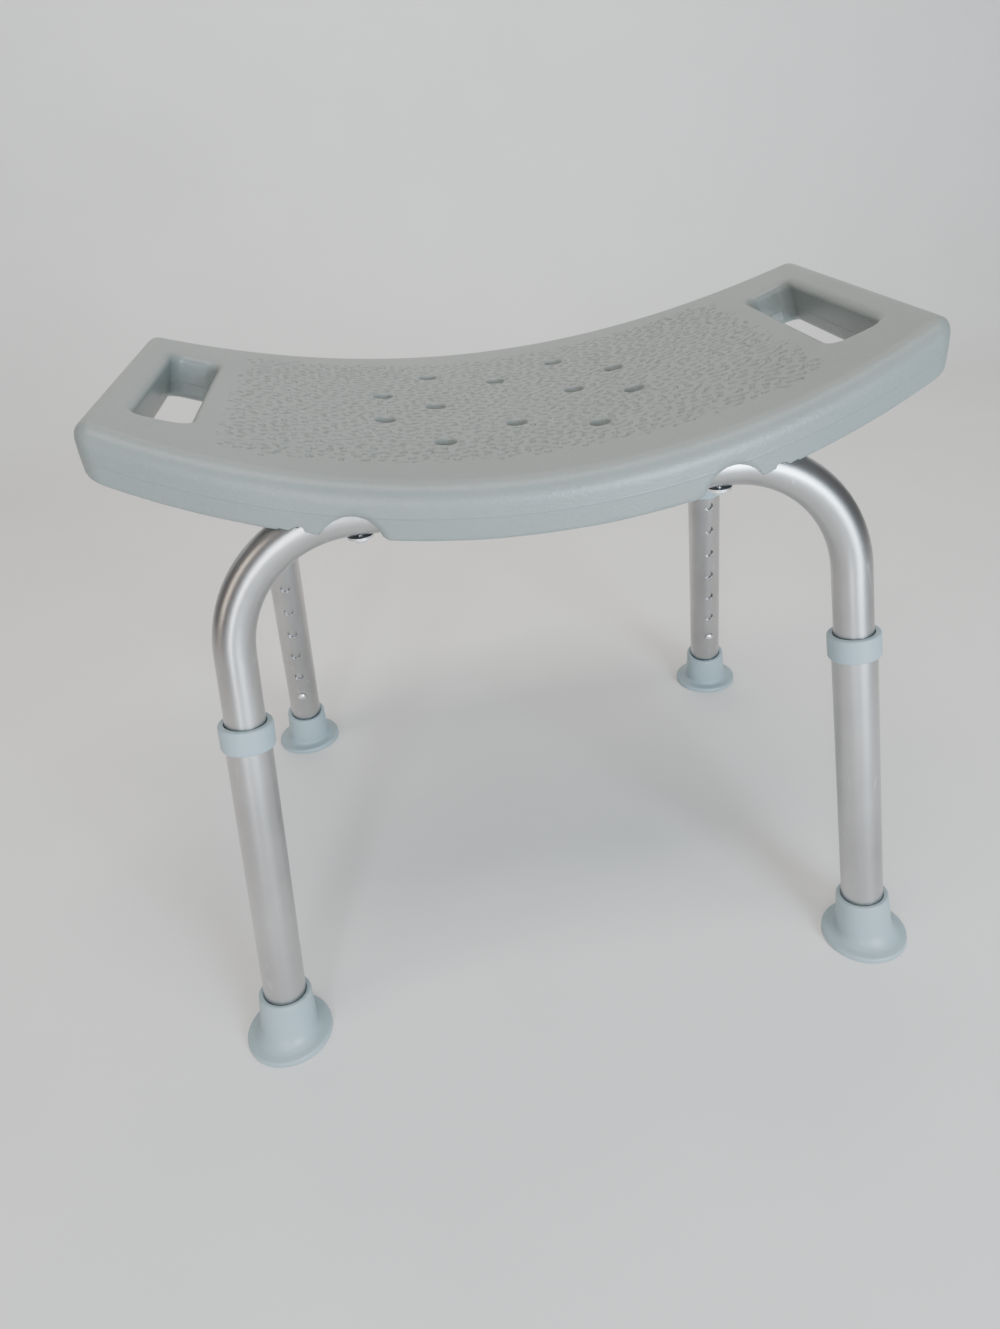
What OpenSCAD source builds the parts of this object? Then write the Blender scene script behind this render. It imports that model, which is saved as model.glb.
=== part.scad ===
// Shower stool: a curved, hollow moulded seat on two bent-tube frames.
// Each leg tube slides over the end of a frame tube and locks on a spring button.
// Millimetres, +Z up, +X along the seat, origin on the floor under the seat's middle.

/* [Seat] */
// Length of the seat, end to end
seat_length = 498; // [415:1:598]
// Depth of the seat at its middle
seat_depth = 314; // [262:1:377]
// How much each long edge bulges outward at the middle
side_bulge = 41; // [34:1:50]
// Height of the sitting surface at the middle, legs pushed in
seat_height = 373; // [311:1:448]
// How far the middle of the seat lies below its ends
seat_dip = 51.5; // [42:0.5:62]
// Thickness of the seat, top to underside
seat_thickness = 33; // [27:0.5:40]
// Wall of the hollow moulding
seat_wall = 3; // [2.5:0.1:3.6]
// Radius of the seat's corners, seen from above
corner_radius = 11; // [9:0.5:14]

/* [Hand holes] */
// Width of each hand hole, across the grip
handle_width = 32; // [26:0.5:38]
// Length of each hand hole
handle_length = 148; // [123:1:178]
// Corner radius of each hand hole
handle_corner = 9; // [7:0.5:11]
// Seat between a hand hole's middle and the seat's end
handle_inset = 40; // [36:0.5:46]

/* [Drain holes] */
// Bore of each drain hole
drain_bore = 7; // [5:0.5:8.5]
// Width of the funnel at the top of each drain hole
drain_mouth = 15; // [12:0.5:18]
// Depth of the funnel
drain_funnel = 7; // [5:0.5:8.5]
// Pitch of the drain holes along the seat
drain_pitch_x = 41; // [34:0.5:49]
// Pitch of the drain holes across the seat
drain_pitch_y = 26; // [21:0.5:31]

/* [Frame] */
// Outside diameter of the frame tubes
frame_tube_od = 25; // [20.8:0.1:30]
// Wall of the frame tubes
frame_tube_wall = 1.4; // [1.2:0.1:1.7]
// Centre-line radius of the frame bends
bend_radius = 80; // [66:1:96]
// Seat between its end and the line of the legs, at the height of the cross-bar
frame_end_inset = 67; // [58:1:80]
// Seat between its long edge and the outside of the cross-bar
frame_side_inset = 13.5; // [12:0.5:16]
// Outward lean of each frame, in degrees
frame_lean = 7.9; // [6.6:0.1:9.4]
// Outward splay of each leg within its frame, in degrees
leg_splay = 4.6; // [3.8:0.1:5.5]

/* [Legs] */
// Radial gap between the leg tube and the frame tube inside it
tube_gap = 0.3; // [0.25:0.01:0.36]
// Wall of the leg tubes
leg_tube_wall = 1.5; // [1.3:0.1:1.8]
// Bare frame tube between the leg tube's top and the bend
bare_tube = 46; // [37:0.5:52]
// Height of the lowest locking hole, along the leg
first_hole = 67.3; // [60:0.1:80]
// Spacing of the locking holes
hole_pitch = 25.4; // [21:0.1:30]
// Diameter of the locking holes
hole_diameter = 8.3; // [7:0.1:9.9]
// Wall of the collar on top of each leg tube
collar_wall = 2.4; // [2:0.1:2.9]
// Height of the collar
collar_height = 16; // [13.4:0.1:19.2]

/* [Feet] */
// Diameter of the foot's base
foot_diameter = 59.4; // [52:0.1:71]
// Thickness of the foot's base
foot_base = 4.6; // [3.9:0.1:5.5]
// Height of the foot's neck, along the leg
foot_height = 37; // [31:0.5:44]
// Wall of the foot's neck at its top
foot_wall = 3.7; // [3.1:0.1:4.4]

/* [Hidden] */
$fn = 64;

// Names for the two ends and the two long sides
LEFT = -1;
RIGHT = 1;
FRONT = -1;
REAR = 1;
ENDS = [LEFT, RIGHT];
SIDES = [FRONT, REAR];

// Colours
SEAT_GREY = [0.60, 0.64, 0.63];
FITTING_GREY = [0.66, 0.73, 0.76];
ALUMINIUM = [0.76, 0.76, 0.77];
STEEL = [0.62, 0.63, 0.65];
BRASS = [0.78, 0.64, 0.36];

// Small gaps
cut = 1; // how far a cut runs past the face it opens
skin_gap = 0.4; // cross-bar to the roof of its channel
fixed_gap = 0.05; // between two pieces that are fixed together
moving_gap = 0.3; // between two pieces that move past each other
bend_swell = 0.02; // how far a bend's skin stands proud of the straights it joins
bend_lap = 0.5; // how far each straight runs into a bend

// Seat surface: part of a cylinder whose axis runs along Y
half_length = seat_length / 2;
half_depth = seat_depth / 2;
curve_radius = (half_length * half_length + seat_dip * seat_dip) / (2 * seat_dip);
side_radius = (half_length * half_length + side_bulge * side_bulge) / (2 * side_bulge);
corner_x = half_length - corner_radius;
corner_past = 0.2;
large_curve_sides = 256;
function rise(x) = curve_radius - sqrt(curve_radius * curve_radius - x * x);

// Frame, in the plane that holds its cross-bar and its two legs
frame_radius = frame_tube_od / 2;
frame_bore = frame_radius - frame_tube_wall;
channel_radius = frame_radius + skin_gap;
channel_skin = seat_wall - skin_gap;
channel_width = 2 * channel_radius + 1;
crossbar_z = seat_height - channel_skin - skin_gap - frame_radius;
crossbar_y = half_depth - frame_side_inset - frame_radius;
crossbar_s = crossbar_z / cos(frame_lean);
foot_y = crossbar_y + crossbar_z * tan(frame_lean);
foot_x = half_length - frame_end_inset + crossbar_s * tan(leg_splay);
bend_s = crossbar_s - bend_radius;
bend_x = foot_x - (bend_radius + bend_s * sin(leg_splay)) / cos(leg_splay);
bend_t = (foot_x - bend_x) * sin(leg_splay) + bend_s * cos(leg_splay);
channel_length = 2 * bend_x + 0.55 * bend_radius;
cavity_length = 2 * (half_length - handle_inset - handle_width) - 4 * seat_wall;
cavity_depth = 2 * (crossbar_y - channel_radius - seat_wall);

// Legs, measured along each leg from the floor
leg_bore = frame_radius + tube_gap;
leg_radius = leg_bore + leg_tube_wall;
leg_top = bend_t - bare_tube;
top_hole_margin = 18;
hole_count = 1 + floor((leg_top - top_hole_margin - first_hole) / hole_pitch);
frame_end = first_hole - 20;
collar_radius = leg_radius + collar_wall;
collar_lip = 2.2;
collar_round = 1.4;

// Foot
foot_sole = 6.6;
washer_plate = 2;
leg_bottom = foot_sole + washer_plate + fixed_gap;
foot_neck_top = leg_radius + foot_wall;
foot_neck_base = foot_neck_top + 1.6;
foot_flare = foot_neck_base + 6;
foot_flare_height = 4;
foot_round = 1.6;
neck_start = 4.2;

// Snap button and its spring, across the tube
button_radius = hole_diameter / 2 - moving_gap;
button_tip = leg_radius + 2.2;
button_dome = 1.9;
button_head_radius = button_radius + 1.6;
button_head = 1.5;
button_seat = sqrt(frame_bore * frame_bore - button_head_radius * button_head_radius) - moving_gap;
spring_half_width = 3.5;
spring_strip = 0.8;
spring_front = button_seat - button_head - fixed_gap;
spring_back = sqrt(frame_bore * frame_bore - spring_half_width * spring_half_width) - moving_gap;
spring_outer = (spring_front + spring_back) / 2;
spring_middle = (spring_front - spring_back) / 2;
spring_bend = first_hole - 9;
spring_top = first_hole + 8;

// Screws that hold each cross-bar up in the seat
screw_radius = 2.5;
screw_x = bend_x - 3.5;
screw_hole = screw_radius + 0.4;
screw_head_radius = 4.7;
screw_head = 3;
screw_recess = 1.4;
screw_slot = 1.1;
plate_radius = 8;
plate_thick = 1.5;
plate_top = crossbar_z - frame_radius - fixed_gap;
insert_radius = 4.5;
insert_bottom = crossbar_z + channel_radius + 0.6;
insert_top = seat_height + rise(screw_x) - seat_wall - 0.6;
notch_radius = 16;
notch_rise = 12;
notch_x = bend_x;

// The seat's outline seen from above
module lens() {
    offset_y = side_radius - half_depth;
    intersection() {
        translate([0, -offset_y]) circle(r = side_radius, $fn = large_curve_sides);
        translate([0, offset_y]) circle(r = side_radius, $fn = large_curve_sides);
    }
}

module outline() {
    // A little past the point of tangency, so that the corner's arc crosses the long edge cleanly
    centre = side_radius - corner_radius;
    tangent_y = half_depth - side_radius + sqrt(centre * centre - corner_x * corner_x);
    corner_y = ceil(10 * tangent_y) / 10 + corner_past;
    intersection() {
        lens();
        union() {
            square([2 * corner_x, 2 * seat_depth], center = true);
            square([seat_length, 2 * corner_y], center = true);
            for (end = ENDS, side = SIDES) {
                translate([end * corner_x, side * corner_y]) circle(r = corner_radius);
            }
        }
    }
}

// The big cylinder that shapes the seat, lowered by drop
module curve(drop) {
    translate([0, -seat_depth, seat_height + curve_radius - drop])
        rotate([-90, 0, 0]) cylinder(r = curve_radius, h = 2 * seat_depth, $fn = large_curve_sides);
}

module slab() {
    difference() {
        intersection() {
            translate([0, 0, seat_height - seat_thickness - cut])
                linear_extrude(seat_thickness + seat_dip + 2 * cut) outline();
            curve(seat_thickness);
        }
        curve(0);
    }
}

// Closed hollow in the middle of the seat, between the channels and the hand holes
module seat_cavity() {
    difference() {
        intersection() {
            translate([-cavity_length / 2, -cavity_depth / 2, seat_height - seat_thickness])
                cube([cavity_length, cavity_depth, seat_thickness + seat_dip]);
            curve(seat_thickness - seat_wall);
        }
        curve(seat_wall);
        at_drains() translate([0, 0, -1.5 * seat_thickness])
            cylinder(d = drain_mouth + seat_wall, h = 2 * seat_thickness);
    }
}

// Places things on the seat's surface over each hand hole's middle, upright to the surface
module at_handles() {
    angle = asin((half_length - handle_inset) / curve_radius);
    for (end = ENDS) {
        translate([0, 0, seat_height + curve_radius])
            rotate([0, -end * angle, 0]) translate([0, 0, -curve_radius]) children();
    }
}

module rounded_slot(width, length, r) {
    square([width - 2 * r, length], center = true);
    square([width, length - 2 * r], center = true);
    for (x = [-1, 1], y = [-1, 1]) {
        translate([x * (width / 2 - r), y * (length / 2 - r)]) circle(r = r);
    }
}

module handle_cut() {
    translate([0, 0, -1.5 * seat_thickness])
        linear_extrude(2.5 * seat_thickness) rounded_slot(handle_width, handle_length, handle_corner);
}

// Twelve drain holes in staggered rows: [columns from the middle, rows from the middle]
DRAINS = [
    [0, -2], [0, 2], [1.16, -3], [1.16, 0], [1.16, 3], [-1.16, -3], [-1.16, 0], [-1.16, 3],
    [2, -1.1], [2, 1.1], [-2, -1.1], [-2, 1.1]
];

module at_drains() {
    for (d = DRAINS) {
        x = d[0] * drain_pitch_x;
        translate([x, d[1] * drain_pitch_y, seat_height + rise(x)]) children();
    }
}

module drain_cut() {
    translate([0, 0, -1.5 * seat_thickness]) cylinder(d = drain_bore, h = 2 * seat_thickness);
    translate([0, 0, -drain_funnel])
        cylinder(d1 = drain_bore, d2 = drain_mouth, h = drain_funnel);
    cylinder(d = drain_mouth, h = seat_dip);
}

// Puts things in the plane of a frame: local X along the seat, local Z up the leaning plane
module in_frame(side) {
    mirror([0, side < 0 ? 1 : 0, 0])
        translate([0, foot_y, 0]) rotate([frame_lean, 0, 0]) children();
}

// Puts things on a leg: local Z up the leg from the floor, local -Y toward the stool's middle
module on_leg(end, side) {
    in_frame(side) mirror([end < 0 ? 1 : 0, 0, 0])
        translate([foot_x, 0, 0]) rotate([0, -leg_splay, 0]) children();
}

module frame_bend(r) {
    rotate_extrude(angle = 90 - leg_splay) translate([bend_radius, 0]) circle(r = r);
}

// Puts things at the bend over each leg: local X points at the leg, local -Y runs down the leg
module at_bends() {
    for (end = ENDS) {
        mirror([end < 0 ? 1 : 0, 0, 0]) translate([bend_x, 0, bend_s])
            rotate([90, 0, 0]) rotate([0, 0, leg_splay]) children();
    }
}

module crossbar_and_bends(r) {
    translate([-bend_x - bend_lap, 0, crossbar_s])
        rotate([0, 90, 0]) cylinder(r = r, h = 2 * (bend_x + bend_lap));
    at_bends() frame_bend(r + bend_swell);
}

module frame_path(r, past) {
    crossbar_and_bends(r);
    at_bends() {
        translate([bend_radius, bend_lap, 0]) rotate([90, 0, 0])
            cylinder(r = r, h = bend_lap + bend_t - frame_end + past);
    }
}

// The groove that a frame lies in, open downward as far as the start of each bend
module channel(side) {
    in_frame(side) crossbar_and_bends(channel_radius);
    translate([-channel_length / 2, side * crossbar_y - channel_width / 2, 0])
        cube([channel_length, channel_width, crossbar_z]);
}

module at_screws() {
    for (end = ENDS, side = SIDES) {
        translate([end * screw_x, side * crossbar_y, 0]) children();
    }
}

// Arched notches in the long skirts that give a way to the screws
module notches() {
    arch_z = seat_height + rise(notch_x) - seat_thickness + notch_rise - notch_radius;
    for (end = ENDS, side = SIDES) {
        translate([end * notch_x, side * crossbar_y, arch_z])
            rotate([side * -90, 0, 0]) cylinder(r = notch_radius, h = 2 * frame_tube_od);
    }
}

module seat() {
    color(SEAT_GREY) difference() {
        slab();
        seat_cavity();
        at_handles() handle_cut();
        at_drains() drain_cut();
        channel(FRONT);
        channel(REAR);
        notches();
        at_screws() translate([0, 0, crossbar_z])
            cylinder(r = insert_radius + fixed_gap, h = insert_top + fixed_gap - crossbar_z);
    }
}

module frame_tube(side) {
    color(ALUMINIUM) difference() {
        in_frame(side) frame_path(frame_radius, 0);
        in_frame(side) frame_path(frame_bore, cut);
        for (end = ENDS) {
            translate([end * screw_x, side * crossbar_y, crossbar_z - frame_tube_od])
                cylinder(r = screw_hole, h = 2 * frame_tube_od);
            on_leg(end, side) translate([0, 0, first_hole])
                rotate([90, 0, 0]) cylinder(d = hole_diameter, h = frame_tube_od);
        }
    }
}

module leg_tube(end, side) {
    color(ALUMINIUM) on_leg(end, side) difference() {
        translate([0, 0, leg_bottom]) cylinder(r = leg_radius, h = leg_top - leg_bottom);
        translate([0, 0, leg_bottom - cut])
            cylinder(r = leg_bore, h = leg_top - leg_bottom + 2 * cut);
        for (i = [0:hole_count - 1]) {
            translate([0, 0, first_hole + i * hole_pitch])
                rotate([90, 0, 0]) cylinder(d = hole_diameter, h = leg_radius + cut);
        }
    }
}

// A square-sided ring section with rounded outer corners, standing on the X axis
module ring_section(outer, height, r) {
    square([outer - r, height]);
    translate([0, r]) square([outer, height - 2 * r]);
    translate([outer - r, r]) circle(r = r);
    translate([outer - r, height - r]) circle(r = r);
}

module leg_collar(end, side) {
    bottom = leg_top + collar_lip - collar_height;
    color(FITTING_GREY) on_leg(end, side) difference() {
        translate([0, 0, bottom]) rotate_extrude() ring_section(collar_radius, collar_height, collar_round);
        translate([0, 0, bottom - cut])
            cylinder(r = leg_radius + fixed_gap, h = collar_height - collar_lip + cut + fixed_gap);
        translate([0, 0, bottom])
            cylinder(r = frame_radius + 2 * moving_gap, h = collar_height + cut);
    }
}

module foot(end, side) {
    color(FITTING_GREY) difference() {
        union() {
            translate([end * foot_x, side * foot_y, 0])
                rotate_extrude() ring_section(foot_diameter / 2, foot_base, foot_round);
            translate([end * foot_x, side * foot_y, foot_base - fixed_gap])
                cylinder(r1 = foot_flare, r2 = foot_neck_base, h = foot_flare_height);
            on_leg(end, side) translate([0, 0, neck_start])
                cylinder(r1 = foot_neck_base, r2 = foot_neck_top, h = foot_height - neck_start);
        }
        on_leg(end, side) translate([0, 0, foot_sole])
            cylinder(r = leg_radius + fixed_gap, h = foot_height);
    }
}

module foot_washer(end, side) {
    color(STEEL) on_leg(end, side) translate([0, 0, foot_sole + fixed_gap])
        cylinder(r = leg_radius - moving_gap, h = washer_plate - fixed_gap);
}

module snap_button(end, side) {
    dome_radius = (button_radius * button_radius + button_dome * button_dome) / (2 * button_dome);
    color(STEEL) on_leg(end, side) translate([0, 0, first_hole]) rotate([90, 0, 0]) {
        translate([0, 0, button_seat - button_head]) cylinder(r = button_head_radius, h = button_head);
        translate([0, 0, button_seat - button_head])
            cylinder(r = button_radius, h = button_tip - button_dome - button_seat + button_head);
        intersection() {
            translate([0, 0, button_tip - dome_radius]) sphere(r = dome_radius);
            translate([0, 0, button_tip - button_dome - cut])
                cylinder(r = button_radius, h = button_dome + 2 * cut);
        }
    }
}

// A U-shaped strip: its front arm backs the button and its rear arm rests near the tube's far wall
module snap_spring(end, side) {
    width = 2 * spring_half_width;
    arm = spring_top - spring_bend;
    color(STEEL) on_leg(end, side) {
        translate([-spring_half_width, -spring_front, spring_bend]) cube([width, spring_strip, arm]);
        translate([-spring_half_width, spring_back - spring_strip, spring_bend])
            cube([width, spring_strip, arm]);
        translate([spring_half_width, -spring_middle, spring_bend]) rotate([0, -90, 0]) rotate([0, 0, 90])
            rotate_extrude(angle = 180) translate([spring_outer - spring_strip, 0])
                square([spring_strip, width]);
    }
}

module seat_screws() {
    color(STEEL) at_screws() {
        translate([0, 0, plate_top - plate_thick - fixed_gap])
            cylinder(r = screw_radius, h = insert_top - plate_top + plate_thick);
        translate([0, 0, plate_top - plate_thick - fixed_gap - screw_head]) difference() {
            cylinder(r1 = screw_head_radius - 1.2, r2 = screw_head_radius, h = screw_head);
            translate([-screw_head_radius / 2, -screw_slot / 2, -cut])
                cube([screw_head_radius, screw_slot, screw_recess + cut]);
            translate([-screw_slot / 2, -screw_head_radius / 2, -cut])
                cube([screw_slot, screw_head_radius, screw_recess + cut]);
        }
    }
}

module seat_washers() {
    color(STEEL) at_screws() translate([0, 0, plate_top - plate_thick]) difference() {
        cylinder(r = plate_radius, h = plate_thick);
        translate([0, 0, -cut]) cylinder(r = screw_radius + moving_gap, h = plate_thick + 2 * cut);
    }
}

module seat_inserts() {
    color(BRASS) at_screws() translate([0, 0, insert_bottom]) difference() {
        cylinder(r = insert_radius, h = insert_top - insert_bottom);
        translate([0, 0, -cut])
            cylinder(r = screw_radius + fixed_gap, h = insert_top - insert_bottom + 2 * cut);
    }
}

seat();
frame_tube(FRONT);  // front_frame_tube
frame_tube(REAR);  // rear_frame_tube
leg_tube(LEFT, FRONT);  // leg_tube_front_left
leg_tube(RIGHT, FRONT);  // leg_tube_front_right
leg_tube(LEFT, REAR);  // leg_tube_rear_left
leg_tube(RIGHT, REAR);  // leg_tube_rear_right
leg_collar(LEFT, FRONT);  // leg_collar_front_left
leg_collar(RIGHT, FRONT);  // leg_collar_front_right
leg_collar(LEFT, REAR);  // leg_collar_rear_left
leg_collar(RIGHT, REAR);  // leg_collar_rear_right
foot(LEFT, FRONT);  // foot_front_left
foot(RIGHT, FRONT);  // foot_front_right
foot(LEFT, REAR);  // foot_rear_left
foot(RIGHT, REAR);  // foot_rear_right
foot_washer(LEFT, FRONT);  // foot_washer_front_left
foot_washer(RIGHT, FRONT);  // foot_washer_front_right
foot_washer(LEFT, REAR);  // foot_washer_rear_left
foot_washer(RIGHT, REAR);  // foot_washer_rear_right
snap_button(LEFT, FRONT);  // snap_button_front_left
snap_button(RIGHT, FRONT);  // snap_button_front_right
snap_button(LEFT, REAR);  // snap_button_rear_left
snap_button(RIGHT, REAR);  // snap_button_rear_right
snap_spring(LEFT, FRONT);  // snap_spring_front_left
snap_spring(RIGHT, FRONT);  // snap_spring_front_right
snap_spring(LEFT, REAR);  // snap_spring_rear_left
snap_spring(RIGHT, REAR);  // snap_spring_rear_right
seat_screws();
seat_washers();
seat_inserts();
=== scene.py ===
"""Shower stool: a curved grey moulded seat on two bent aluminium frames with push-button legs.

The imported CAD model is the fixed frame. This script builds the seat's and the feet's smooth outer
shapes around it, gives every piece its material, and sets the floor, the lights and the camera.
Lengths are in metres.
"""
import math

import bmesh
import bpy
import numpy as np
from mathutils import Matrix, Vector


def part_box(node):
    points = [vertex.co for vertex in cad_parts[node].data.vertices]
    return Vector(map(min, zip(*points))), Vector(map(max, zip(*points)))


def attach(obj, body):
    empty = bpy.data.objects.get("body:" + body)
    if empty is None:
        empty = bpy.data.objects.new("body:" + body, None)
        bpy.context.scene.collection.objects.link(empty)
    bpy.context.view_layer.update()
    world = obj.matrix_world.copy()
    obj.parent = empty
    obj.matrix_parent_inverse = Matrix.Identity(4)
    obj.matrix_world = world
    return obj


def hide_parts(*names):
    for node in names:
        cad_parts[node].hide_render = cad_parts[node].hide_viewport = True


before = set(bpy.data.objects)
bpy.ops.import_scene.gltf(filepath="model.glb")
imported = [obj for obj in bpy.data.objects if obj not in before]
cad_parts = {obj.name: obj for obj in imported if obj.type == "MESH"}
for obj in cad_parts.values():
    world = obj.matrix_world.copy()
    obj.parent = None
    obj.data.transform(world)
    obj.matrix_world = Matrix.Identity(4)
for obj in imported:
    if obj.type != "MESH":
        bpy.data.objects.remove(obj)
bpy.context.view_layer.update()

# ---------------------------------------------------------------- two CAD sizes, and the rest from the frame
SEAT_THICKNESS = 0.033
TUBE_RADIUS = 0.0125
seat_low, seat_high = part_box("seat")
tube_low, tube_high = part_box("rear_frame_tube")
HALF_LENGTH = seat_high.x
HALF_DEPTH = seat_high.y
SEAT_HEIGHT = seat_low.z + SEAT_THICKNESS
SEAT_DIP = seat_high.z - SEAT_HEIGHT
CURVE_RADIUS = (HALF_LENGTH ** 2 + SEAT_DIP ** 2) / (2 * SEAT_DIP)
CURVE_Z = SEAT_HEIGHT + CURVE_RADIUS
CROSSBAR_Z = tube_high.z - TUBE_RADIUS
CROSSBAR_Y = tube_low.y + TUBE_RADIUS
foot_low, foot_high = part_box("foot_rear_right")
FOOT_X = (foot_low.x + foot_high.x) / 2
FOOT_Y = (foot_low.y + foot_high.y) / 2

# ---------------------------------------------------------------- the seat's own shape
SIDE_BULGE = 0.041
SIDE_RADIUS = (HALF_LENGTH ** 2 + SIDE_BULGE ** 2) / (2 * SIDE_BULGE)
CORNER_RADIUS = 0.012
TOP_EDGE = 0.013
UNDER_EDGE = 0.0025
DRAFT = 0.025
PARTING_DEPTH = 0.019
HANDLE_INSET = 0.040
HANDLE_HALF_WIDTH = 0.0162
HANDLE_HALF_LENGTH = 0.0740
HANDLE_CORNER = 0.009
HANDLE_TAPER = 0.06
HANDLE_RIM = 0.0055
DRAIN_PITCH_X = 0.041
DRAIN_PITCH_Y = 0.026
DRAIN_BORE = 0.0040
DRAIN_MOUTH = 0.0072
DRAIN_FUNNEL = 0.0060
DRAIN_RIM = 0.0013
DRAINS = [(0, -2), (0, 2), (1.16, -3), (1.16, 0), (1.16, 3), (-1.16, -3), (-1.16, 0), (-1.16, 3),
          (2, -1.1), (2, 1.1), (-2, -1.1), (-2, 1.1)]
BEND_X = 0.10818
BEND_RADIUS = 0.080
FRAME_LEAN = math.radians(7.9)
CHANNEL_GAP = 0.0004
CHANNEL_EDGE = 0.0006
NOTCH_RADIUS = 0.016
NOTCH_RISE = 0.012
NOTCH_EDGE = 0.005
FIELD_HALF_LENGTH = 0.178
FIELD_HALF_DEPTH = 0.117
RELIEF = 0.0010  # depth of the creases between the crinkles
FIELD_WAIST = 0.22  # how fast the field narrows toward its ends
FIELD_FADE = 0.004
FIELD_CORNER = 0.020
FIELD_RAGGEDNESS = 0.0022
CRINKLE_WAVES = 36
CRINKLE_SHORTEST = 0.0048
CRINKLE_SPREAD = 0.0030
CRINKLE_STRETCH = 0.82  # along the seat; below 1 makes the crinkles longer that way
CREASE_FLOOR = -1.0  # the waves' sum, in standard deviations, where a crease is deepest
CREASE_EDGE = -0.15  # and where it ends
DETAIL_MARGIN = 0.003  # how far past the detail the finer mesh goes
GRID_STEP = 0.002

# ---------------------------------------------------------------- the feet's own shape
LEG_SPLAY = math.radians(4.6)
FOOT_RADIUS = (foot_high.x - foot_low.x) / 2 - 0.00005
FOOT_BASE = 0.0046
FOOT_TURN = 0.006  # how far up from the base the neck comes round to the leg's lean
FOOT_SIDES = 96
TREAD_DEPTH = 0.0012
TREAD_MIDDLE = 0.0058
TREAD_GROOVES = (0.0120, 0.0178, 0.0236)
GROOVE_MOUTH = 0.0013
GROOVE_BOTTOM = 0.0009
SOCKET_RADIUS = 0.0144
SOCKET_FLOOR = 0.0066


def rise(x):
    """How far the sitting surface is above its middle at x."""
    return CURVE_RADIUS - np.sqrt(CURVE_RADIUS ** 2 - x ** 2)


def depth_below(x, z):
    """How far a point is below the sitting surface."""
    return np.hypot(x, z - CURVE_Z) - CURVE_RADIUS


def join(a, b, r):
    """The higher of two distances, with the outside edge between them rounded to radius r."""
    return np.minimum(np.maximum(a, b), -r) + np.hypot(np.maximum(a + r, 0), np.maximum(b + r, 0))


def rounded_rectangle(u, v, half_u, half_v, r):
    """Distance to a rectangle with rounded corners."""
    a = np.abs(u) - half_u + r
    b = np.abs(v) - half_v + r
    return np.hypot(np.maximum(a, 0), np.maximum(b, 0)) + np.minimum(np.maximum(a, b), 0) - r


def hand_hole(x, y, z):
    """Distance to the hand holes, which stand square to the curved surface and narrow downward."""
    hole_x = HALF_LENGTH - HANDLE_INSET
    tilt = math.asin(hole_x / CURVE_RADIUS)
    dx = np.abs(x) - hole_x
    dz = z - SEAT_HEIGHT - rise(hole_x)
    along = dx * math.cos(tilt) + dz * math.sin(tilt)
    up = dz * math.cos(tilt) - dx * math.sin(tilt)
    grow = np.minimum(up, 0) * HANDLE_TAPER
    half_width, half_length = HANDLE_HALF_WIDTH + grow, HANDLE_HALF_LENGTH + grow
    return rounded_rectangle(along, y, half_width, half_length, HANDLE_CORNER)


def drain_hole(x, y, depth):
    """Distance to the nearest drain hole: a funnel over a small bore."""
    slope = (DRAIN_MOUTH - DRAIN_BORE) / DRAIN_FUNNEL
    radius = DRAIN_BORE + slope * np.maximum(DRAIN_FUNNEL - depth, 0)
    nearest = np.full_like(depth, 1.0)
    for column, row in DRAINS:
        away = np.hypot(x - column * DRAIN_PITCH_X, y - row * DRAIN_PITCH_Y)
        nearest = np.minimum(nearest, away)
    return (nearest - radius) / math.hypot(1, slope)


def channel(x, y, z):
    """Distance to the grooves that the frame tubes lie in, as far as each bend's way out of the seat."""
    outward = np.abs(y) - FOOT_Y
    across = outward * math.cos(FRAME_LEAN) + z * math.sin(FRAME_LEAN)
    up = z * math.cos(FRAME_LEAN) - outward * math.sin(FRAME_LEAN)
    bend_centre = CROSSBAR_Z / math.cos(FRAME_LEAN) - BEND_RADIUS
    above = np.hypot(np.maximum(np.abs(x) - BEND_X, 0), up - bend_centre) - BEND_RADIUS
    return np.hypot(across, np.maximum(above, 0)) - TUBE_RADIUS - CHANNEL_GAP


def notch(x, y, z):
    """Distance to the arches in the long skirts under the screws."""
    centre_z = SEAT_HEIGHT + rise(BEND_X) - SEAT_THICKNESS + NOTCH_RISE - NOTCH_RADIUS
    arch = np.hypot(np.abs(x) - BEND_X, z - centre_z) - NOTCH_RADIUS
    return np.maximum(arch, CROSSBAR_Y - np.abs(y))


def seat_distance(x, y, z):
    """Distance to the seat's surface, below zero inside the moulding."""
    depth = depth_below(x, z)
    under = np.hypot(x, z - CURVE_Z + SEAT_THICKNESS) - CURVE_RADIUS
    ends = np.abs(x) - HALF_LENGTH
    sides = np.hypot(x, np.abs(y) + SIDE_RADIUS - HALF_DEPTH) - SIDE_RADIUS
    skirt = join(ends, sides, CORNER_RADIUS) + DRAFT * np.abs(depth - PARTING_DEPTH)
    body = join(skirt, -depth, TOP_EDGE)
    body = join(body, under, UNDER_EDGE)
    body = join(body, -hand_hole(x, y, z), HANDLE_RIM)
    body = join(body, -drain_hole(x, y, depth), DRAIN_RIM)
    body = join(body, -channel(x, y, z), CHANNEL_EDGE)
    return join(body, -notch(x, y, z), NOTCH_EDGE)


def field_inset(x, y):
    """How far inside the crinkled sitting field a point is, with a ragged edge."""
    wander = np.sin(310 * x + 3 * np.sin(190 * y)) + np.sin(270 * y + 3 * np.sin(230 * x))
    ends = FIELD_HALF_LENGTH - np.abs(x)
    sides = FIELD_HALF_DEPTH - FIELD_WAIST * x ** 2 - np.abs(y)
    return -join(-ends, -sides, FIELD_CORNER) + FIELD_RAGGEDNESS * wander


def smooth(value, low, high):
    """0 below low, 1 above high, smooth between."""
    t = np.clip((value - low) / (high - low), 0, 1)
    return t * t * (3 - 2 * t)


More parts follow.
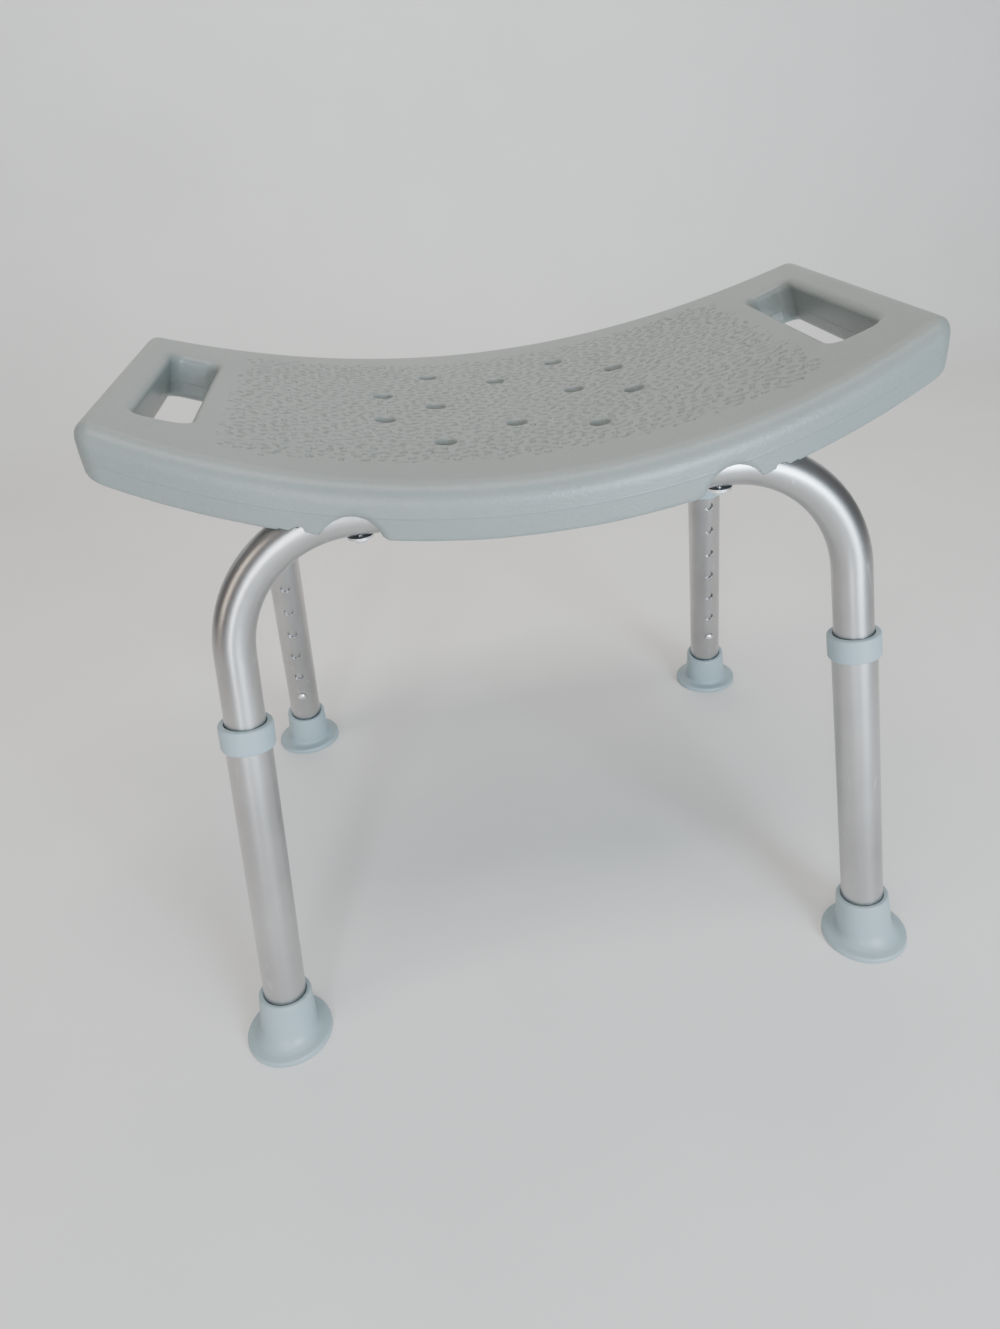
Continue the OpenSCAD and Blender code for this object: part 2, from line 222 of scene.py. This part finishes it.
def crinkle(x, y):
    """From 0 in the creases to 1 on the raised crinkles: many small waves laid across each other."""
    total = np.zeros_like(x)
    for i in range(CRINKLE_WAVES):
        # Irrational steps spread the waves' headings, lengths and starts without repeating
        heading = 2 * math.pi * 0.618034 * i
        length = CRINKLE_SHORTEST + CRINKLE_SPREAD * (0.414214 * i % 1)
        start = 2.399963 * i * i
        across = CRINKLE_STRETCH * x * math.cos(heading) + y * math.sin(heading)
        total += np.cos(2 * math.pi / length * across + start)
    return smooth(total / math.sqrt(CRINKLE_WAVES / 2), CREASE_FLOOR, CREASE_EDGE)


def detailed_seat(x, y, z):
    """The seat's surface with the crinkles raised on its sitting field."""
    depth = depth_below(x, z)
    in_field = smooth(field_inset(x, y), 0, FIELD_FADE)
    on_top = smooth(-depth, -0.004, -0.001)
    off_drains = smooth(drain_hole(x, y, depth), 0.0003, 0.0022)
    creases = RELIEF * (1 - crinkle(x, y))
    return seat_distance(x, y, z) + in_field * on_top * off_drains * creases


# ---------------------------------------------------------------- meshes from a distance
def gradient(distance, points, reach=1e-4):
    """Which way the distance grows at each point."""
    slopes = []
    for axis in range(3):
        step = np.zeros(3)
        step[axis] = reach
        slopes.append(distance(*(points + step).T) - distance(*(points - step).T))
    return np.stack(slopes, axis=1) / (2 * reach)


def surface_net(distance, low, high, step):
    """A closed quad mesh where distance is zero, with one vertex in each grid cell that it crosses."""
    axes = [np.arange(a - 3 * step, b + 3 * step, step) for a, b in zip(low, high)]
    values = distance(*np.meshgrid(*axes, indexing="ij"))
    cells = np.array(values.shape) - 1
    points, owners, quads = [], [], []
    for axis in range(3):
        u, v = (axis + 1) % 3, (axis + 2) % 3
        near = values.take(range(cells[axis]), axis)
        far = values.take(range(1, cells[axis] + 1), axis)
        edges = np.argwhere((near < 0) != (far < 0))
        a, b = near[tuple(edges.T)], far[tuple(edges.T)]
        crossing = edges.astype(float)
        crossing[:, axis] += a / (a - b)
        around = []
        for du, dv in ((0, 0), (-1, 0), (-1, -1), (0, -1)):
            cell = edges.copy()
            cell[:, u] += du
            cell[:, v] += dv
            around.append(np.ravel_multi_index(cell.T, cells))
        around = np.stack(around, axis=1)
        around[b < a] = around[b < a][:, ::-1]
        quads.append(around)
        owners.append(around.ravel())
        points.append(np.repeat(crossing, 4, axis=0))
    owners, points = np.concatenate(owners), np.concatenate(points)
    used, index = np.unique(owners, return_inverse=True)
    count = np.bincount(index)
    vertices = np.stack([np.bincount(index, points[:, k]) / count for k in range(3)], axis=1)
    vertices = vertices * step + np.array([axis[0] for axis in axes])
    return settle(distance, vertices), np.searchsorted(used, np.concatenate(quads))


def settle(distance, vertices, rounds=4):
    """The vertices moved onto the surface where distance is zero."""
    least_slope = 0.25
    for _ in range(rounds):
        slope = gradient(distance, vertices)
        size = np.maximum((slope ** 2).sum(axis=1), least_slope)
        vertices = vertices - slope * (distance(*vertices.T) / size)[:, None]
    return vertices


def refine(vertices, faces, inside):
    """The mesh with each edge halved where both of its ends are inside."""
    mesh = bmesh.new()
    points = [mesh.verts.new(v) for v in vertices]
    mesh.verts.index_update()
    for face in faces:
        mesh.faces.new([points[i] for i in face])
    chosen = [e for e in mesh.edges if inside[e.verts[0].index] and inside[e.verts[1].index]]
    bmesh.ops.subdivide_edges(mesh, edges=chosen, cuts=1, use_grid_fill=True)
    mesh.verts.index_update()
    vertices = np.array([v.co[:] for v in mesh.verts])
    faces = [[v.index for v in face.verts] for face in mesh.faces]
    mesh.free()
    return vertices, faces


def make_mesh(name, vertices, faces, normals=None):
    """A smooth-shaded mesh object."""
    mesh = bpy.data.meshes.new(name)
    mesh.from_pydata([tuple(v) for v in vertices], [], [tuple(f) for f in faces])
    mesh.polygons.foreach_set("use_smooth", [True] * len(mesh.polygons))
    if normals is not None:
        mesh.normals_split_custom_set_from_vertices([tuple(n) for n in normals])
    mesh.update()
    piece = bpy.data.objects.new(name, mesh)
    bpy.context.scene.collection.objects.link(piece)
    return piece


def needs_detail(x, y, z):
    """Where the seat's mesh is made finer: the crinkled field, the drains and by the tubes' bends."""
    depth = depth_below(x, z)
    surface_z = SEAT_HEIGHT + rise(x)
    in_field = (z > surface_z - DETAIL_MARGIN) & (field_inset(x, y) > -DETAIL_MARGIN)
    in_drains = (drain_hole(x, y, depth) < DETAIL_MARGIN) & (depth < 0.014)
    by_bends = (np.abs(x) > 0.080) & (np.abs(x) < 0.165) & (np.abs(y) > CROSSBAR_Y)
    low_skirt = z < surface_z - SEAT_THICKNESS + 0.014
    return in_field | in_drains | (by_bends & low_skirt)


def make_seat():
    """The moulded seat, as one closed smooth mesh."""
    vertices, faces = surface_net(seat_distance, seat_low, seat_high, GRID_STEP)
    vertices, faces = refine(vertices, faces, needs_detail(*vertices.T))
    vertices = settle(detailed_seat, vertices)
    slope = gradient(detailed_seat, vertices)
    normals = slope / np.linalg.norm(slope, axis=1)[:, None]
    seat = make_mesh("moulded_seat", vertices, faces, normals)
    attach(seat, "seat_and_frame")
    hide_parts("seat")
    return seat


def arc(centre_r, centre_t, radius, start, end, steps):
    """Points along an arc, with its angles in degrees."""
    angles = [math.radians(start + (end - start) * i / steps) for i in range(steps + 1)]
    return [(centre_r + radius * math.cos(a), centre_t + radius * math.sin(a)) for a in angles]


def foot_profile():
    """A foot's outline as (radius, height) points, from its tread's middle to its socket's floor."""
    outline = [(0.0, TREAD_DEPTH), (TREAD_MIDDLE, TREAD_DEPTH), (TREAD_MIDDLE + 0.0006, 0.0)]
    for groove in TREAD_GROOVES:
        outline += [(groove - GROOVE_MOUTH, 0.0), (groove - GROOVE_BOTTOM, TREAD_DEPTH)]
        outline += [(groove + GROOVE_BOTTOM, TREAD_DEPTH), (groove + GROOVE_MOUTH, 0.0)]
    outline += arc(FOOT_RADIUS - 0.0014, 0.0014, 0.0014, -90, 0, 6)
    outline += arc(FOOT_RADIUS - 0.0016, 0.0030, 0.0016, 0, 80, 6)
    outline += arc(0.0262, 0.0118, 0.0068, -98, -172, 12)
    outline += [(0.01925, 0.0150), (0.0189, 0.0200), (0.0185, 0.0260), (0.0181, 0.0320)]
    outline += arc(0.0165, 0.0355, 0.0015, 10, 90, 6)
    outline += arc(0.0155, 0.0359, 0.0011, 90, 180, 5)
    outline += [(SOCKET_RADIUS, 0.0300), (SOCKET_RADIUS, 0.0180), (SOCKET_RADIUS, SOCKET_FLOOR)]
    return outline + [(0.0, SOCKET_FLOOR)]


def make_foot(leg, end, side):
    """A rubber foot: a flat round base, and a neck that flares out of it and leans with the leg."""
    upright = Vector((0, 0, 1))
    lean = Vector((-end * math.sin(LEG_SPLAY), -side * math.cos(LEG_SPLAY) * math.sin(FRAME_LEAN),
                   math.cos(LEG_SPLAY) * math.cos(FRAME_LEAN)))
    across = upright.cross(lean).normalized()
    vertices, faces, rings = [], [], []
    for radius, height in foot_profile():
        tilt = min(max((height - FOOT_BASE) / FOOT_TURN, 0), 1)
        axis = upright.lerp(lean, tilt).normalized()
        along = axis.cross(across)
        centre = Vector((end * FOOT_X, side * FOOT_Y, 0)) + axis * height
        count = FOOT_SIDES if radius > 0 else 1
        rings.append(range(len(vertices), len(vertices) + count))
        for i in range(count):
            angle = 2 * math.pi * i / FOOT_SIDES
            vertices.append(centre + radius * (math.cos(angle) * across + math.sin(angle) * along))
    for low, high in zip(rings, rings[1:]):
        for i in range(FOOT_SIDES):
            j = (i + 1) % FOOT_SIDES
            corners = [low[i % len(low)], low[j % len(low)], high[j % len(high)], high[i % len(high)]]
            faces.append(list(dict.fromkeys(corners)))
    foot = make_mesh(f"rubber_foot_{leg}", vertices, faces)
    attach(foot, f"leg_{leg}")
    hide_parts(f"foot_{leg}")
    return foot


# ---------------------------------------------------------------- materials
class Nodes:
    """Short calls for building one material's nodes."""

    def __init__(self, name):
        self.material = bpy.data.materials.new(name)
        self.material.use_nodes = True
        self.tree = self.material.node_tree
        self.shader = self.tree.nodes["Principled BSDF"]
        self.where = self.tree.nodes.new("ShaderNodeTexCoord").outputs["Object"]

    def set(self, **values):
        for name, value in values.items():
            self.shader.inputs[name.replace("_", " ")].default_value = value

    def link(self, source, target):
        self.tree.links.new(source, target)

    def math(self, kind, a, b=0.0, c=0.0):
        node = self.tree.nodes.new("ShaderNodeMath")
        node.operation = kind
        for socket, value in zip(node.inputs, (a, b, c)):
            if isinstance(value, (int, float)):
                socket.default_value = value
            else:
                self.link(value, socket)
        return node.outputs[0]

    def blend(self, factor, a, b):
        """A number that goes from a to b as factor goes from 0 to 1."""
        return self.math("MULTIPLY_ADD", factor, b - a, a)

    def xyz(self):
        node = self.tree.nodes.new("ShaderNodeSeparateXYZ")
        self.link(self.where, node.inputs[0])
        return node.outputs

    def scaled(self, x, y, z):
        node = self.tree.nodes.new("ShaderNodeMapping")
        node.inputs["Scale"].default_value = (x, y, z)
        self.link(self.where, node.inputs["Vector"])
        return node.outputs[0]

    def noise(self, scale, detail=3.0, distortion=0.0, vector=None):
        node = self.tree.nodes.new("ShaderNodeTexNoise")
        node.inputs["Scale"].default_value = scale
        node.inputs["Detail"].default_value = detail
        node.inputs["Distortion"].default_value = distortion
        self.link(vector or self.where, node.inputs["Vector"])
        return node.outputs["Fac"]

    def ramp(self, factor, low, high):
        """0 at low and 1 at high, smooth between and level past them; low may be the larger."""
        node = self.tree.nodes.new("ShaderNodeMapRange")
        node.interpolation_type = "SMOOTHSTEP"
        node.inputs["From Min"].default_value = low
        node.inputs["From Max"].default_value = high
        self.link(factor, node.inputs["Value"])
        return node.outputs[0]

    def colours(self, factor, *stops):
        node = self.tree.nodes.new("ShaderNodeValToRGB")
        elements = node.color_ramp.elements
        while len(elements) < len(stops):
            elements.new(0.5)
        for element, (place, colour) in zip(elements, stops):
            element.position = place
            element.color = (*colour, 1)
        self.link(factor, node.inputs[0])
        self.link(node.outputs[0], self.shader.inputs["Base Color"])

    def roughness(self, factor, low, high):
        self.link(self.blend(factor, low, high), self.shader.inputs["Roughness"])

    def bump(self, *layers):
        """Stacked bumps, each (height, depth in metres)."""
        below = None
        for height, depth in layers:
            node = self.tree.nodes.new("ShaderNodeBump")
            node.inputs["Distance"].default_value = depth
            self.link(height, node.inputs["Height"])
            if below:
                self.link(below, node.inputs["Normal"])
            below = node.outputs["Normal"]
        self.link(below, self.shader.inputs["Normal"])


def painted_hole_shade(n, x, y, depth):
    """Where shade is painted in the drain holes: 1 below their funnels, and 0 outside the seat's middle and
    at its faces.
    """
    below_funnel = n.ramp(depth, 0.0030, 0.0075)
    above_exit = n.ramp(depth, SEAT_THICKNESS - 0.001, SEAT_THICKNESS - 0.005)
    near_x, near_y = (n.ramp(n.math("ABSOLUTE", v), 0.104, 0.100) for v in (x, y))
    near_middle = n.math("MULTIPLY", near_x, near_y)
    return n.math("MULTIPLY", n.math("MULTIPLY", below_funnel, above_exit), near_middle)


def seat_plastic():
    """Moulded polyethylene: fine grain all over, a parting line on the skirt, and painted shade down in the
    drain bores.
    """
    n = Nodes("seat_plastic")
    x, y, z = n.xyz()
    up = n.math("SUBTRACT", z, CURVE_Z)
    span = n.math("SQRT", n.math("ADD", n.math("MULTIPLY", x, x), n.math("MULTIPLY", up, up)))
    depth = n.math("SUBTRACT", span, CURVE_RADIUS)
    line = n.ramp(n.math("ABSOLUTE", n.math("SUBTRACT", depth, PARTING_DEPTH)), 0.0007, 0.0)
    grain = n.noise(1300, 2)
    pebble = n.noise(420, 2, 0.4)
    cloud = n.noise(9, 4)
    tone = n.math("MULTIPLY_ADD", line, -0.2, n.math("MULTIPLY", cloud, 0.8))
    tone = n.math("MULTIPLY_ADD", pebble, 0.25, tone)
    # Painted shade: below their funnels the drain bores are darkened to a near-black colour that stands in
    # for the shade inside them.
    unshaded = n.math("SUBTRACT", 1.0, painted_hole_shade(n, x, y, depth))
    tone = n.math("MULTIPLY_ADD", unshaded, n.math("ADD", tone, 0.6), -0.6)
    tone = n.math("MULTIPLY_ADD", tone, 0.5, 0.5)
    # The first colour is the painted shade of the drain bores; the other two are the plastic's own tones.
    hole_shade_colour, low, high = (0.030, 0.036, 0.036), (0.168, 0.187, 0.178), (0.215, 0.236, 0.227)
    n.colours(tone, (0.2, hole_shade_colour), (0.60, low), (0.92, high))
    n.roughness(pebble, 0.30, 0.44)
    n.bump((line, 0.00018), (pebble, 0.00022), (grain, 0.00010))
    n.set(Specular_IOR_Level=0.5)
    return n.material


def anodised():
    """Satin anodised tube: fine upright lines, a fine grain and a few soft scuffs."""
    n = Nodes("satin_aluminium")
    lines = n.noise(30, 4, 0.0, n.scaled(60, 60, 3))
    fine = n.noise(1100, 2)
    scuffs = n.ramp(n.noise(70, 6, 1.6, n.scaled(1, 1, 0.4)), 0.66, 0.72)
    n.set(Metallic=1.0)
    tone = n.math("MULTIPLY_ADD", scuffs, 0.3, n.noise(14, 3))
    n.colours(tone, (0.3, (0.40, 0.388, 0.385)), (0.8, (0.54, 0.528, 0.525)))
    rough = n.math("MULTIPLY_ADD", lines, 0.08, 0.26)
    n.link(n.math("MULTIPLY_ADD", scuffs, 0.18, rough), n.shader.inputs["Roughness"])
    n.bump((lines, 0.00003), (fine, 0.00002), (scuffs, 0.00004))
    return n.material


def fitting_plastic(name, colour, dark):
    """Moulded plastic or rubber: soft cloudy tone and a fine grain."""
    n = Nodes(name)
    n.colours(n.noise(25, 3), (0.25, dark), (0.75, colour))
    n.roughness(n.noise(300, 2), 0.36, 0.48)
    n.bump((n.noise(900, 2), 0.00010))
    return n.material


def metal(name, colour, low, high):
    """Plated or turned metal, with its roughness between low and high."""
    n = Nodes(name)
    n.set(Metallic=1.0)
    n.colours(n.noise(40, 3), (0.3, tuple(0.86 * c for c in colour)), (0.7, colour))
    n.roughness(n.noise(500, 3), low, high)
    n.bump((n.noise(500, 2), 0.00001))
    return n.material


def assign(node, material):
    """Gives a CAD node its material."""
    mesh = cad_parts[node].data
    mesh.materials.clear()
    mesh.materials.append(material)


def finish_pieces():
    """Makes the seat and the feet, and gives every piece its material."""
    aluminium = anodised()
    grey = fitting_plastic("fitting_grey", (0.285, 0.365, 0.40), (0.255, 0.33, 0.365))
    rubber = fitting_plastic("foot_rubber", (0.285, 0.36, 0.385), (0.245, 0.315, 0.34))
    steel = metal("bright_steel", (0.86, 0.86, 0.87), 0.24, 0.34)
    plain_steel = metal("plain_steel", (0.5, 0.5, 0.51), 0.3, 0.42)
    brass = metal("brass", (0.72, 0.52, 0.25), 0.25, 0.35)
    make_seat().data.materials.append(seat_plastic())
    for side_name, side in (("front", -1), ("rear", 1)):
        assign(f"{side_name}_frame_tube", aluminium)
        for end_name, end in (("left", -1), ("right", 1)):
            leg = f"{side_name}_{end_name}"
            make_foot(leg, end, side).data.materials.append(rubber)
            assign(f"leg_tube_{leg}", aluminium)
            assign(f"leg_collar_{leg}", grey)
            assign(f"foot_washer_{leg}", plain_steel)
            assign(f"snap_button_{leg}", steel)
            assign(f"snap_spring_{leg}", steel)
    assign("seat_screws", steel)
    assign("seat_washers", steel)
    assign("seat_inserts", brass)


# ---------------------------------------------------------------- floor, light and camera
def make_stage():
    """A pale floor that curves up into a pale backdrop."""
    reach, back, turn, steps = 4.0, 1.1, 0.5, 16
    profile = [(-reach, 0.0), (back, 0.0)]
    for i in range(1, steps + 1):
        angle = math.radians(90 * i / steps)
        profile.append((back + turn * math.sin(angle), turn * (1 - math.cos(angle))))
    profile.append((back + turn, reach))
    vertices = [(x, y, z) for y, z in profile for x in (-reach, reach)]
    faces = [(2 * i, 2 * i + 1, 2 * i + 3, 2 * i + 2) for i in range(len(profile) - 1)]
    stage = make_mesh("stage", vertices, faces)
    n = Nodes("stage_paint")
    n.colours(n.noise(6, 3), (0.3, (0.74, 0.73, 0.72)), (0.7, (0.77, 0.76, 0.75)))
    n.set(Roughness=0.7)
    stage.data.materials.append(n.material)


def area_light(name, place, aim, size, power, colour):
    """A soft rectangular lamp that faces aim."""
    data = bpy.data.lights.new(name, "AREA")
    data.shape = "RECTANGLE"
    data.size, data.size_y = size
    data.energy = power
    data.color = colour
    lamp = bpy.data.objects.new(name, data)
    lamp.location = place
    lamp.rotation_euler = (Vector(aim) - Vector(place)).to_track_quat("-Z", "Y").to_euler()
    bpy.context.scene.collection.objects.link(lamp)


def make_light():
    """A cool low window in front, a strip that shows as lines on the tubes, and warm fill."""
    seat, legs, wall = (0, 0, 0.3), (0, 0, 0.25), (0, 1.6, 0.9)
    area_light("window", (0.8, -1.9, 0.50), seat, (0.7, 0.8), 56, (0.72, 0.88, 1.0))
    area_light("strip", (-0.55, -1.7, 0.55), legs, (0.22, 1.1), 16, (0.86, 0.93, 1.0))
    area_light("side", (-1.7, -0.7, 0.9), seat, (0.3, 1.2), 5, (1.0, 0.86, 0.72))
    area_light("top", (0.1, 0.7, 1.7), seat, (1.2, 0.8), 6, (1.0, 0.88, 0.74))
    area_light("wall", (0.0, -0.4, 2.4), wall, (2.0, 1.0), 46, (1.0, 0.96, 0.92))
    world = bpy.data.worlds.new("world")
    world.use_nodes = True
    background = world.node_tree.nodes["Background"]
    background.inputs["Color"].default_value = (0.80, 0.82, 0.85, 1)
    background.inputs["Strength"].default_value = 0.22
    bpy.context.scene.world = world


def make_camera():
    """The camera stands in front of the stool, a little to its left, and looks down and to its right."""
    place = Vector((-0.0750, -0.6256, 0.5497))
    turn, tilt, roll = math.radians(4.847), math.radians(31.517), math.radians(5.795)
    level = math.cos(tilt)
    ahead = Vector((math.sin(turn) * level, math.cos(turn) * level, -math.sin(tilt)))
    right = Vector((math.cos(turn), -math.sin(turn), 0))
    down = ahead.cross(right)
    x_axis = math.cos(roll) * right + math.sin(roll) * down
    y_axis = math.sin(roll) * right - math.cos(roll) * down
    data = bpy.data.cameras.new("camera")
    data.lens = 25.10
    data.sensor_width = 36
    data.clip_start = 0.02
    camera = bpy.data.objects.new("camera", data)
    axes = Matrix((x_axis, y_axis, -ahead)).transposed().to_4x4()
    camera.matrix_world = Matrix.Translation(place) @ axes
    bpy.context.scene.collection.objects.link(camera)
    bpy.context.scene.camera = camera


finish_pieces()
make_stage()
make_light()
make_camera()
